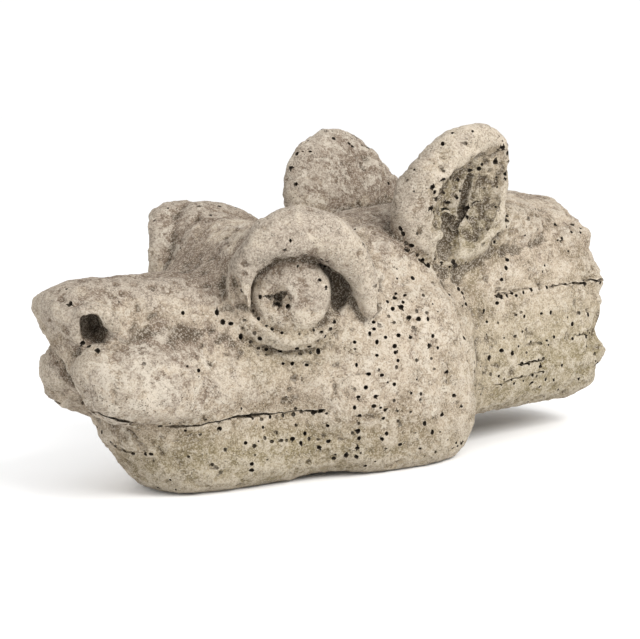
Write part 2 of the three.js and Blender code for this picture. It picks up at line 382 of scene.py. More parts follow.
@dataclass
class Eyes:
    """Two drum eyes in deep sockets, each with a lower lid, a fold under it and a thick hood."""

    centre: Point = (130.0, -122.0, 226.0)
    radius: float = 45.5
    yaw: float = 56.0
    droop: float = 0.05
    hood_yaw: float = 80.0
    pupil: tuple[float, float] = (-16.0, -2.0)
    trench: float = 47.5

    def gaze(self) -> np.ndarray:
        """The direction the left eye looks in."""
        return np.array([*heading(self.yaw)[:2], -self.droop])

    def ahead(self, distance: float, rear: float = 0.0, up: float = 0.0) -> Point:
        """A point in front of the left eye's face, moved to the rear along the face and up."""
        back = heading(self.yaw + 90)
        spot = np.array(self.centre) + self.gaze() * distance + back * rear
        return tuple(spot + np.array([0.0, 0.0, up]))

    def round(
        self, yaw: float, start: float, stop: float, radii: Sequence[float], offsets: Sequence[float]
    ) -> list[Point]:
        """Points round the left eye in an upright plane.

        Args:
            yaw: Where the plane faces.
            start: First angle in degrees; 0 is to the rear and 90 is up.
            stop: Last angle.
            radii: Distance from the eye's centre at each point.
            offsets: How far each point stands in front of the plane.

        Returns:
            One point for each radius.
        """
        rear, front = heading(yaw + 90), heading(yaw)
        angles = np.radians(np.linspace(start, stop, len(radii)))
        up = np.array([0.0, 0.0, 1.0])
        centre = np.array(self.centre)
        return [
            tuple(centre + rear * r * math.cos(a) + up * r * math.sin(a) + front * o)
            for r, a, o in zip(radii, angles, offsets)
        ]

    def sockets(self) -> list[Roll]:
        """The round trenches that the eyes stand in, deeper behind them, and the paring of the lower lids."""
        size = [self.trench * 0.96, self.trench]
        ring = Roll([self.ahead(-22), self.ahead(80)], size, size, side=(0, 0, 1), blunt=10)
        behind = Roll(
            self.round(58, 56, -26, [48, 50, 53, 56, 57], [-12, -18, -20, -18, -10]),
            [22, 28, 30, 30, 22], [4, 7, 11, 12, 7], side=tuple(self.gaze()), blunt=3,
        )
        pared = Roll(
            self.round(58, 152, 338, [68, 64, 61, 60, 62, 66], [16, 11, 8, 5, 0, -10]),
            [12, 13, 13, 13, 13, 12], [14, 14, 14, 13, 13, 12], side=tuple(self.gaze()), crown=3, blunt=5,
        )
        return [roll.on(hand) for roll in (ring, behind, pared) for hand in Hand]

    def drums(self) -> list[Roll]:
        """The eyes themselves."""
        size = [self.radius] * 3
        drum = Roll(
            [self.ahead(-60), self.ahead(-30), self.ahead(3)], size, size,
            side=(0, 0, 1), crown=2.0, blunt=5.5,
        )
        return [drum.on(hand) for hand in Hand]

    def lids(self) -> list[Roll]:
        """The lower lids, and the folds of skin that sag under them."""
        gaze = tuple(self.gaze())
        lid = Roll(
            self.round(58, 222, 330, [53, 53, 53, 56, 62], [-13, -11, -10, -14, -26]),
            [8, 10, 11, 10, 8], [3, 4.5, 5.5, 5, 4], side=gaze, blunt=3,
        )
        fold = Roll(
            self.round(62, 228, 312, [76, 73, 74, 79, 86], [-30, -28, -27, -31, -40]),
            [9, 11, 12, 11, 8], [4, 6, 7, 6, 4], side=gaze, blunt=3,
        )
        return [roll.on(hand) for roll in (lid, fold) for hand in Hand]

    def hoods(self) -> list[Roll]:
        """The thick hoods that arch over the eyes and come down behind them."""
        side = tuple(heading(self.hood_yaw))
        arch = Roll(
            self.round(self.hood_yaw, 186, -20, [54, 63, 73, 77, 84, 104], [-24, -8, 4, 8, 8, 2]),
            [9, 18, 28, 30, 28, 20], [3, 12, 27, 28, 22, 14], side=side, blunt=3,
        )
        return [arch.on(hand) for hand in Hand]

    def pupils(self) -> list[Roll]:
        """The hollow of each pupil, a shallow cone set towards the front."""
        rear, up = self.pupil
        cone = Roll(
            [self.ahead(-10, rear, up), self.ahead(-2, rear, up), self.ahead(14, rear, up)],
            [4, 14, 30], [4, 13, 27], side=(0, 0, 1), blunt=8,
        )
        return [cone.on(hand) for hand in Hand]

    def gouges(self) -> list[Roll]:
        """The star of gouges in each pupil and the drill holes beside it."""
        rear, up = self.pupil
        star = [
            groove(
                [
                    self.ahead(-12, rear, up),
                    self.ahead(-7, rear + a / 2, up + b / 2),
                    self.ahead(1, rear + a, up + b),
                ],
                3.2, depth=1.7,
            )
            for a, b in ((-18, 5), (12, 8), (4, -14), (-6, -10))
        ]
        drills = [
            Roll([self.ahead(-20, a, b), self.ahead(8, a, b)], [r, r], [r, r], side=(0, 0, 1), blunt=8,
                 facets=12, rings=12)
            for a, b, r in (
                (rear, up, 5.0), (rear + 12, up - 9, 3.2), (rear - 20, up + 5, 2.8), (10, 34, 1.8)
            )
        ]
        return [roll.on(hand) for roll in (*star, *drills) for hand in Hand]


@dataclass
class Muzzle:
    """The snout, nose and mouth."""

    mouth: Sequence[Point] = (
        (40, -352, 122), (66, -340, 114), (86, -318, 104), (94, -290, 95), (98, -262, 91),
        (102, -228, 90), (106, -196, 93), (108, -170, 91), (112, -125, 88), (134, -86, 88),
    )
    lip_line: Sequence[Point] = ((8, -308, 66), (44, -296, 60), (68, -272, 56), (84, -246, 54))

    def lobes(self) -> list[Roll]:
        """The front lobes of the upper lip, the right one further out, and the wings over the nostrils."""
        lobe = Roll(
            [(46, -296, 168), (46, -318, 152), (46, -320, 130)], [30, 42, 30], [32, 44, 30], blunt=2.2
        )
        right = Roll(
            [(-34, -300, 170), (-34, -330, 154), (-36, -328, 128)], [28, 36, 26], [28, 37, 24], blunt=2.2
        )
        wing = Roll(
            [(46, -360, 226), (58, -346, 232), (67, -328, 224), (72, -312, 204)],
            [9, 12, 11, 7], [7, 9, 8, 6], side=(0.4, 1, 0), blunt=3,
        )
        return [lobe, right, *(wing.on(hand) for hand in Hand)]

    def nostrils(self) -> list[Roll]:
        """Tall flared nostrils, bored in and back, the creases under the nose and the split of the lip."""
        hole = Roll(
            [(14, -316, 214), (40, -334, 212), (64, -344, 206), (94, -360, 196)],
            [8, 12, 15, 24], [13, 18, 24, 36], side=(0, 1, 0), blunt=3, facets=48,
        )
        flare = Roll([(70, -370, 224), (64, -364, 208), (58, -362, 190), (52, -357, 172)],
                     [13, 18, 15, 8], [15, 21, 16, 9], blunt=3)
        under = groove([(66, -342, 186), (48, -356, 180), (28, -364, 182)], 4, depth=1.2)
        halves = [roll.on(hand) for roll in (hole, flare, under) for hand in Hand]
        split = groove([(0, -376, 186), (0, -364, 172), (1, -352, 152), (2, -342, 130), (2, -334, 110)], 8.5)
        return [*halves, split]

    @staticmethod
    def shaved_brow() -> Roll:
        """Air in front of the right brow, whose front is flatter than the left one's."""
        return Roll(
            [(-100, -228, 272), (-188, -171, 272), (-277, -114, 272)], [40] * 3, [62] * 3,
            side=(0.545, 0.839, 0), crown=4, blunt=10,
        )

    def lines(self) -> list[Roll]:
        """The line of the mouth, and a step of the chin that dies out along the jaw."""
        thin = [2.6, 0.9, 2.4, 1.0, 2.8, 0.8, 1.2, 2.6, 0.7, 3.0]
        cuts = [
            Roll(self.mouth, [14] * 10, thin, blunt=8, facets=12, rings=96),
            Roll(self.lip_line, [12, 8, 5, 3], [3.2, 1.6, 2.0, 0.6], blunt=6, facets=12, rings=48),
        ]
        return [roll.on(hand) for roll in cuts for hand in Hand]

    def teeth(self) -> list[Roll]:
        """The gaps between the teeth, as short upright cuts under the mouth line."""
        spots = [((30, -338, 100), 1.6, 10), ((58, -318, 94), 1.8, 9), ((93, -262, 80), 2.6, 12),
                 ((100, -214, 82), 1.2, 7), ((110, -140, 76), 2.0, 13)]
        gaps = [
            groove([(x, y, z + high), (x + 1, y + 1, z), (x - 1, y, z - high)], r, depth=1.6)
            for (x, y, z), r, high in spots
        ]
        return [roll.on(hand) for roll in gaps for hand in Hand]


@dataclass
class Ears:
    """Two upright ears with hollow cups."""

    left_cup: Sequence[Point] = ((146, 104, 232), (150, 128, 282), (150, 152, 326), (160, 190, 372))
    right_cup: Sequence[Point] = ((-146, 94, 232), (-150, 110, 282), (-150, 126, 326), (-158, 152, 372))

    def cups(self) -> list[Roll]:
        """The hollow of each ear, deepest low down."""
        width, height = [22, 33, 35, 20], [26, 38, 38, 22]
        return [Roll(path, width, height, crown=2.6, blunt=2.4) for path in (self.left_cup, self.right_cup)]

    def creases(self) -> list[Roll]:
        """The crease down the middle of each cup, and the gully that opens the left one downwards."""
        return [
            groove([(118, 156, 345), (112, 150, 320), (108, 142, 296), (110, 132, 280)], 7, depth=1.4),
            groove([(-118, 130, 345), (-112, 126, 320), (-108, 118, 296), (-110, 108, 280)], 7, depth=1.4),
            groove([(112, 124, 296), (124, 116, 270), (134, 104, 250), (142, 96, 234)], 17),
            Roll([(158, 40, 236), (157, 100, 234), (158, 170, 240)], [22, 23, 22], [18, 24, 20], blunt=3),
        ]


@dataclass
class Cracks:
    """Thin ragged cracks that follow the stone's beds, and one across the left ear's cup."""

    paths: Sequence[tuple[Sequence[Point], Sequence[float]]] = (
        (((128, 176, 190), (131, 190, 191), (131, 212, 192)), (0.6, 1.6, 0.5)),
        (((131, 262, 190), (132, 286, 193), (132, 312, 191), (132, 330, 192), (130, 356, 190)),
         (2.2, 0.8, 2.0, 1.2, 3.2)),
        (((133, 300, 126), (134, 320, 124), (133, 352, 123)), (0.4, 1.2, 3.0)),
        (((132, 200, 101), (132, 226, 100), (131, 250, 102)), (0.5, 1.6, 0.4)),
        (((138, 134, 76), (134, 160, 79), (132, 190, 81), (131, 220, 84), (130, 250, 85)),
         (1.0, 0.3, 1.6, 0.4, 1.0)),
        (((112, 108, 306), (106, 128, 302), (106, 152, 304), (114, 176, 312)), (0.8, 2.0, 1.4, 0.8)),
        (((104, 62, 262), (112, 72, 246), (122, 84, 236)), (1.0, 2.4, 1.4)),
        (((88, -198, 214), (92, -190, 202)), (2.6, 1.8)),
    )

    def cuts(self) -> list[Roll]:
        """The cracks on both sides."""
        rolls = [
            Roll(path, [6] * len(path), sizes, side=(1, 0, 0.02), blunt=5, facets=12, rings=16 * len(path))
            for path, sizes in self.paths
        ]
        return [roll.on(hand) for roll in rolls for hand in Hand]


@dataclass
class Neck:
    """The stub of the neck behind the ears."""

    def humps(self) -> list[Roll]:
        """The swell along the top of the neck, which dies out before the cut end."""
        return [Roll([(0, 130, 262), (6, 215, 268), (0, 318, 258)], [96, 118, 100], [44, 47, 40], crown=2.4)]


@dataclass
class Weather:
    """The work of rain and frost: lumps, chips, opened beds and a ragged broken end."""

    seed: int = 11
    neck_start: float = 118.0
    beds: Sequence[tuple[float, float, float]] = (
        (262, 1.2, 2.0), (196, 1.5, 3.6), (186, 1.2, 2.4), (158, 1.6, 1.8),
        (126, 1.6, 3.2), (101, 1.2, 3.0), (76, 1.5, 3.2), (56, 1.4, 2.6),
    )

    def wear(self, stone: bpy.types.Object) -> None:
        """Move the stone's skin in and out along its normals.

        Args:
            stone: The fused stone, with even facets.
        """
        points, normals = Bench.points(stone), Bench.normals(stone)
        spot = DATUM.millimetres(points)
        grain = Grain(self.seed)
        lumps = 2.4 * grain.layered(points, 46, 2) + 1.5 * grain.layered(points + 3, 16, 2)
        grit = 0.95 * grain.layered(points + 7, 7, 2) + 0.45 * grain.at(points + 13, 3.4)
        chips = ease(grain.layered(points + 11, 13, 2), 0.6, 0.95) * 2.8
        pocks = ease(grain.at(points + 17, 5.5), 0.5, 0.85) * 1.5
        move = lumps + grit - chips - pocks
        move -= self.bedding(spot, points, grain)
        move -= self.broken_end(spot, points, grain)
        move -= self.rough_cups(spot, points, grain)
        calm = 1 - 0.3 * self.near_eye(spot)
        flat = ease(spot[:, 2], 0.5, 6)
        Bench.place(stone, points + normals * (move * calm * flat * MM)[:, None])

    def bedding(self, spot: np.ndarray, points: np.ndarray, grain: Grain) -> np.ndarray:
        """Depth of the cracks that follow the stone's beds along the neck, broken off here and there."""
        neck = ease(spot[:, 1], self.neck_start, self.neck_start + 40)
        rear = ease(spot[:, 1], 270, 350)
        wave = 6 * grain.at(points + 23, 70) + 3.0 * grain.at(points + 29, 20)
        wave += 1.2 * grain.at(points + 37, 7)
        depth = np.zeros(len(points))
        for index, (level, width, deep) in enumerate(self.beds):
            here = spot[:, 2] - level - 0.02 * (spot[:, 1] - 250) - wave
            shown = ease(grain.layered(points + 31 + index, 44, 2), 0.05, 0.5)
            edge = rear * ease(grain.at(points + 41 + index, 30), -0.4, 0.3)
            depth += deep * np.maximum(shown, 0.8 * edge) * np.exp(-((here / (width + 1.5 * edge)) ** 2))
            ledge = ease(here, 0, 3) * (1 - ease(here, 3, 30))
            depth += 0.9 * ledge * shown
        return depth * neck

    def broken_end(self, spot: np.ndarray, points: np.ndarray, grain: Grain) -> np.ndarray:
        """Depth of the spalls along the edge of the cut end, with a notch low down."""
        edge = ease(spot[:, 1], 312, 358)
        notch = np.exp(-(((spot[:, 2] - 118) / 13) ** 2)) * 7
        return edge * (3.5 + 6.0 * grain.layered(points + 53, 30, 2) + notch)

    def rough_cups(self, spot: np.ndarray, points: np.ndarray, grain: Grain) -> np.ndarray:
        """Depth of the spalled stone inside the cups of the ears."""
        side = np.abs(spot[:, 0])
        inside = ease(spot[:, 2], 240, 270) * ease(spot[:, 1], 60, 90) * (1 - ease(side, 138, 152))
        inside = inside * ease(side, 84, 96) * (1 - ease(spot[:, 2], 366, 384))
        spalls = 3.4 * grain.layered(points + 61, 15, 3)
        return inside * (spalls + 2.4 * ease(grain.at(points + 67, 9), 0.1, 0.6))

    def near_eye(self, spot: np.ndarray) -> np.ndarray:
        """1 on the drums of the eyes and 0 away from them."""
        x, y, z = Eyes.centre
        gap = np.sqrt((np.abs(spot[:, 0]) - x) ** 2 + (spot[:, 1] - y) ** 2 + (spot[:, 2] - z) ** 2)
        return 1 - ease(gap, 36, 60)


@dataclass
class Row:
    """A row of borings along a path on the stone."""

    path: Sequence[Point]
    count: int
    radius: float = 2.6
    wander: float = 1.6


@dataclass
class Seat:
    """Where one boring goes: a place on the stone, the way out, and its radius and depth in metres."""

    place: Vector
    way: Vector
    radius: float
    depth: float


@dataclass
class Borings:
    """The round holes that mason bees have bored, in rows along soft beds and scattered between them."""

    seed: int = 5
    spacing: float = 6.3
    facets: int = 9
    depth: float = 6.5
    scattered: int = 900
    shallow: float = 0.3
    lowest: float = 6.0
    rearmost: float = 352.0
    proud: float = 3.0
    eyes: Eyes = field(default_factory=Eyes)

    def rows(self) -> list[Row]:
        """The rows on the beast's left side."""
        eyes = self.eyes

        def around(radius: float, start: float, stop: float, ahead: float, count: int) -> list[Point]:
            """A round path about the left eye."""
            return eyes.round(58, start, stop, [radius] * count, [ahead] * count)

        return [
            Row(around(49, 168, 12, 8, 7), 18, 2.3, 0.5),
            Row(around(48, 200, 350, -10, 6), 13, 2.2, 1.0),
            Row(around(60, 204, 330, -12, 6), 16, 2.6, 1.2),
            Row(around(76, 204, 300, -26, 6), 12, 2.9, 1.8),
            Row(around(84, 215, 290, -24, 5), 6, 2.2, 3.0),
            Row([(86, -196, 216), (88, -190, 206), (92, -184, 196)], 4, 3.2, 2.0),
            Row([(150, -139, 286), (150, -126, 300)], 3, 2.4, 0.3),
            Row([(146, 2, 214), (160, 0, 170), (166, -8, 112)], 11, 2.9, 3.0),
            Row([(148, 22, 214), (162, 20, 176), (168, 18, 126)], 10, 2.7, 3.4),
            Row([(146, 44, 204), (166, 46, 160), (170, 44, 120)], 7, 2.6, 4.0),
            Row([(146, -24, 196), (160, -28, 150), (164, -34, 100)], 7, 2.6, 4.0),
            Row([(96, -176, 60), (112, -124, 57), (128, -84, 52)], 12, 2.8, 1.4),
            Row([(106, -170, 88), (116, -118, 85), (132, -84, 85)], 9, 2.8, 1.0),
            Row([(112, -112, 84), (112, -108, 58)], 3, 2.6, 2.4),
            Row([(152, -56, 112), (154, -54, 70), (142, -53, 26)], 9, 2.6, 1.6),
            Row([(158, -26, 84), (158, -20, 30)], 5, 2.4, 2.4),
            Row([(43, -346, 196), (50, -342, 190), (58, -338, 188)], 4, 3.2, 1.2),
            Row([(112, 50, 290), (110, 62, 258)], 6, 3.6, 2.2),
            Row([(118, 60, 286), (118, 72, 250), (124, 84, 236)], 6, 2.9, 1.8),
            Row([(128, 88, 250), (132, 104, 244), (130, 122, 236)], 4, 2.8, 1.4),
            Row([(130, 124, 208), (134, 126, 186)], 4, 3.0, 1.0),
            Row([(129, 178, 192), (120, 208, 228)], 6, 2.8, 1.6),
            Row([(131, 196, 190), (131, 240, 190), (131, 290, 192)], 8, 2.2, 1.4),
            Row([(133, 210, 126), (133, 340, 124)], 10, 2.2, 2.0),
            Row([(136, 150, 100), (132, 200, 76), (128, 270, 72)], 9, 2.3, 2.6),
            Row([(131, 160, 160), (131, 260, 156)], 6, 2.4, 3.4),
            Row([(86, -318, 92), (94, -280, 84), (100, -230, 78)], 6, 2.0, 2.4),
            Row([(122, 130, 340), (118, 146, 318), (116, 152, 290)], 6, 2.4, 2.6),
            Row([(140, 180, 388), (154, 196, 360), (150, 190, 330)], 6, 2.3, 2.6),
        ]

    def density(self, spot: np.ndarray) -> np.ndarray:
        """How thickly the borings are scattered over the stone, from 0 to 1."""
        x, y, z = spot.T
        cheek = ease(y, -100, -30) * (1 - ease(y, 120, 150)) * ease(np.abs(x), 100, 140)
        neck = ease(y, 120, 170) * ease(np.abs(x), 60, 118)
        jaw = (1 - ease(z, 70, 100)) * (1 - ease(y, -60, 0)) * ease(np.abs(x), 30, 80)
        lips = (1 - ease(z, 150, 190)) * (1 - ease(y, -140, -60))
        ears = ease(z, 300, 330)
        hidden = (z < 4) | (y > 350)
        shown = 0.05 + 0.85 * cheek + 0.62 * neck + 0.5 * jaw + 0.16 * lips + 0.3 * ears
        return np.where(hidden, 0, shown)

    def seats(self, stone: bpy.types.Object, calm: BVHTree) -> list[Seat]:
        """Where the borings go.

        Args:
            stone: The weathered stone.
            calm: The stone's surface before it was weathered, which gives steady directions.

        Returns:
            One seat for each boring.
        """
        dice = np.random.default_rng(self.seed)
        points, normals = Bench.points(stone), Bench.normals(stone)
        tree = Bench.surface(stone)
        wanted: list[tuple[Vector, float]] = []
        for row in self.rows():
            steps = np.arange(row.count) + dice.uniform(-0.25, 0.25, row.count)
            places = np.clip(steps / max(row.count - 1, 1), 0, 1)
            wander = dice.normal(0, row.wander, (row.count, 3))
            spots = DATUM.metres(flowing(row.path, places) + wander)
            sizes = row.radius * dice.uniform(0.8, 1.18, row.count)
            wanted += [(Vector(spot), size) for spot, size in zip(spots, sizes)]
        spot = DATUM.millimetres(points)
        chance = self.density(spot)
        patchy = ease(Grain(self.seed).layered(points, 40, 2), -0.6, 0.6)
        chance = chance * (0.25 + patchy)
        chosen = dice.choice(len(points), self.scattered, replace=False, p=chance / chance.sum())
        wanted += [(Vector(points[index]), dice.uniform(1.3, 3.2)) for index in chosen]
        seats: list[Seat] = []
        for place, size in wanted:
            near, _, _, _ = tree.find_nearest(place)
            _, way, _, _ = calm.find_nearest(near)
            if way is None or near.z < self.lowest * MM or near.y > DATUM.shift + self.rearmost * MM:
                continue
            if any((near - seat.place).length < self.spacing * MM for seat in seats):
                continue
            deep = self.depth * dice.uniform(0.7, 1.15)
            if dice.random() < self.shallow:
                deep = self.depth * dice.uniform(0.25, 0.45)
            seats.append(Seat(near, way.normalized(), size * MM, deep * MM))
        return seats

    def tools(self, seats: Sequence[Seat]) -> bpy.types.Object:
        """One blunt drill for each seat, all in one mesh.

        Args:
            seats: Where the borings go.

        Returns:
            The joined drills.
        """
        Bench.pick()
        bpy.ops.mesh.primitive_cone_add(vertices=self.facets, radius1=0.7, radius2=1.06, depth=1.0)
        drill = bpy.context.object
        shape = Bench.points(drill).copy()
        faces = [tuple(p.vertices) for p in drill.data.polygons]
        bpy.data.objects.remove(drill)
        points: list[np.ndarray] = []
        polygons: list[tuple[int, ...]] = []
        dice = np.random.default_rng(self.seed + 1)
        proud = self.proud * MM
        for seat in seats:
            turn = np.array(seat.way.to_track_quat("Z", "Y").to_matrix())
            squash = dice.uniform(0.84, 1.18)
            scale = np.array([seat.radius * squash, seat.radius / squash, seat.depth + proud])
            local = shape * scale + np.array([0, 0, (proud - seat.depth) / 2])
            start = len(points) * len(shape)
            points.append(local @ turn.T + np.array(seat.place))
            polygons += [tuple(start + corner for corner in face) for face in faces]
        mesh = bpy.data.meshes.new("drills")
        mesh.from_pydata(np.vstack(points).tolist(), [], polygons)
        tool = bpy.data.objects.new("drills", mesh)
        bpy.context.collection.objects.link(tool)
        return tool


class Wire:
    """A socket of a finish's nodes, which arithmetic can be written on."""

    def __init__(self, board: "Board", socket: bpy.types.NodeSocket) -> None:
        """Hold a socket and the board it is on."""
        self.board = board
        self.socket = socket

    def _with(self, operation: str, first: object, second: object) -> "Wire":
        """A Math node on two values."""
        return self.board.node("ShaderNodeMath", {"operation": operation}, {0: first, 1: second})

    def __add__(self, other: object) -> "Wire":
        """Sum."""
        return self._with("ADD", self, other)

    def __sub__(self, other: object) -> "Wire":
        """Difference."""
        return self._with("SUBTRACT", self, other)

    def __rsub__(self, other: object) -> "Wire":
        """Difference the other way round."""
        return self._with("SUBTRACT", other, self)

    def __mul__(self, other: object) -> "Wire":
        """Product."""
        return self._with("MULTIPLY", self, other)

    __radd__ = __add__
    __rmul__ = __mul__

    def step(self, low: float, high: float) -> "Wire":
        """A smooth step from 0 at `low` to 1 at `high`."""
        settings = {"interpolation_type": "SMOOTHSTEP"}
        return self.board.node("ShaderNodeMapRange", settings, {0: self, 1: low, 2: high, 3: 0.0, 4: 1.0})


class Board:
    """The nodes of one material."""

    def __init__(self, name: str) -> None:
        """Start a material with its shader and nothing wired to it."""
        self.material = bpy.data.materials.new(name)
        self.material.use_nodes = True
        self.tree = self.material.node_tree
        self.shader = next(n for n in self.tree.nodes if n.type == "BSDF_PRINCIPLED")
        self.place = self.node("ShaderNodeTexCoord", {}, {}, "Object")

    def node(
        self, kind: str, settings: dict[str, object], inputs: dict[object, object], output: object = 0
    ) -> Wire:
        """Add any node.

        Args:
            kind: The node's type.
            settings: Properties, set before the inputs.
            inputs: A value or a Wire for each socket, by name or number.
            output: The socket to return, by name or number.

        Returns:
            That output as a Wire.
        """
        made = self.tree.nodes.new(kind)
        for name, value in settings.items():
            setattr(made, name, value)
        for key, value in inputs.items():
            self.feed(made.inputs[key], value)
        return Wire(self, made.outputs[output])

    def feed(self, socket: bpy.types.NodeSocket, value: object) -> None:
        """Link a Wire to a socket, or set the socket to a value."""
        if isinstance(value, Wire):
            self.tree.links.new(value.socket, socket)
        else:
            socket.default_value = value

    def noise(self, scale: float, detail: float = 6.0, rough: float = 0.6, twist: float = 0.0) -> Wire:
        """Cloudy noise over the object, about 0.5."""
        inputs = {
            "Vector": self.place, "Scale": scale, "Detail": detail, "Roughness": rough, "Distortion": twist
        }
        return self.node("ShaderNodeTexNoise", {}, inputs, "Fac")

    def cells(self, scale: float) -> Wire:
        """Distance to the nearest of many scattered points."""
        return self.node("ShaderNodeTexVoronoi", {}, {"Vector": self.place, "Scale": scale}, "Distance")

    def grains(self, scale: float) -> Wire:
        """A random value for each of many small cells, like sand."""
        colour = self.node("ShaderNodeTexVoronoi", {}, {"Vector": self.place, "Scale": scale}, "Color")
        return self.node("ShaderNodeSeparateColor", {}, {0: colour}, 0)

    def mark(self, name: str) -> Wire:
        """A value painted on the mesh."""
        return self.node("ShaderNodeAttribute", {"attribute_name": name}, {}, "Fac")

    def blend(self, first: object, second: object, amount: object, how: str = "MIX") -> Wire:
        """One colour over another."""
        settings = {"data_type": "RGBA", "blend_type": how, "clamp_factor": True}
        return self.node("ShaderNodeMix", settings, {0: amount, 6: first, 7: second}, 2)


Colour = tuple[float, float, float, float]


@dataclass(frozen=True)
class Limestone:
    """Worn limestone: cream where it is fresh, brown-grey under its patina, with lichen, painted shade in its
    hollows and near-black painted shade in its borings.
    """

    cream: Colour = (0.425, 0.352, 0.268, 1)
    buff: Colour = (0.240, 0.186, 0.130, 1)
    patina: Colour = (0.165, 0.120, 0.088, 1)
    lichen: Colour = (0.55, 0.49, 0.405, 1)
    green: Colour = (0.232, 0.198, 0.100, 1)
    # Dark brown for painted shade in hollows, and for dark grit and dots.
    grit_and_shade: Colour = (0.064, 0.046, 0.029, 1)
    # Near-black painted shade inside the borings.
    boring: Colour = (0.034, 0.026, 0.018, 1)

    def make(self) -> bpy.types.Material:
        """Build the material.

        Returns:
            The finished material.
        """
        board = Board("limestone")
        broad, middle = board.noise(9, 8, 0.62, 0.4), board.noise(42, 9, 0.68)
        speck, fine = board.noise(150, 7, 0.76), board.noise(480, 5, 0.78)
        sand = board.grains(620)
        tone = (broad * 0.8 + middle * 0.9 + speck * 0.55).step(1.0, 1.24)
        colour = board.blend(self.cream, self.buff, tone)
        skin = board.noise(24, 9, 0.64, 0.6)
        # The patina mark also carries the painted shade under the hoods.
        coat = (board.mark("patina") * 0.9 + skin * 1.5 + speck * 0.3).step(1.05, 1.16)
        colour = board.blend(colour, self.patina, coat * (0.48 + middle * 0.6))
        scab = (board.noise(64, 7, 0.58, 0.3) + board.mark("patina") * 0.12).step(0.59, 0.615)
        colour = board.blend(colour, self.patina, scab * 0.55)
        blotch = (board.mark("pale") + board.noise(50, 8, 0.62, 0.5) * 1.4 + speck * 0.3).step(1.02, 1.1)
        colour = board.blend(colour, self.lichen, blotch * 0.62)
        moss = (board.mark("green") * 0.9 + broad * 0.55 + middle * 0.4).step(0.5, 1.2)
        colour = board.blend(colour, self.green, moss * 0.6)
        # Painted shade: the hollow mark, broken up by noise, darkens the colour in creases and recesses.
        hollow = (board.mark("hollow") * 1.1 + (middle - 0.5) * 0.9 + (speck - 0.5) * 0.7).step(0.1, 1.35)
        colour = board.blend(colour, self.grit_and_shade, hollow * 0.9)
        worn = (board.mark("crest") + (speck - 0.5) * 1.4).step(0.3, 1.1)
        colour = board.blend(colour, self.lichen, worn * 0.4)
        dark_grit = (1 - (speck * 0.6 + fine * 0.5 + sand * 0.2).step(0.53, 0.63)) * 0.4
        colour = board.blend(colour, self.grit_and_shade, dark_grit)
        pale_grit = (speck * 0.4 + fine * 0.6 + sand * 0.22).step(0.605, 0.7)
        colour = board.blend(colour, self.lichen, pale_grit * 0.45)
        dots = (1 - board.cells(300).step(0.1, 0.3)) * (middle + speck * 0.5).step(0.7, 0.84)
        colour = board.blend(colour, self.grit_and_shade, dots * 0.7)
        # Painted shade: the faces inside the borings turn near black.
        colour = board.blend(colour, self.boring, board.mark("bore_shade"))
        board.feed(board.shader.inputs["Base Color"], colour)
        board.feed(board.shader.inputs["Roughness"], 0.86 + middle * 0.16)
        board.shader.inputs["Specular IOR Level"].default_value = 0.2
        height = middle * 0.5 + speck * 0.5 + fine * 0.3 - dots * 0.4 + sand * 0.06
        bump = board.node(
            "ShaderNodeBump", {}, {"Strength": 1.0, "Distance": 0.004, "Height": height}, "Normal"
        )
        board.feed(board.shader.inputs["Normal"], bump)
        return board.material


@dataclass
class Stain:
    """A patch on the stone where a mark is strong."""

    centre: Point
    size: Point
    strength: float = 1.0


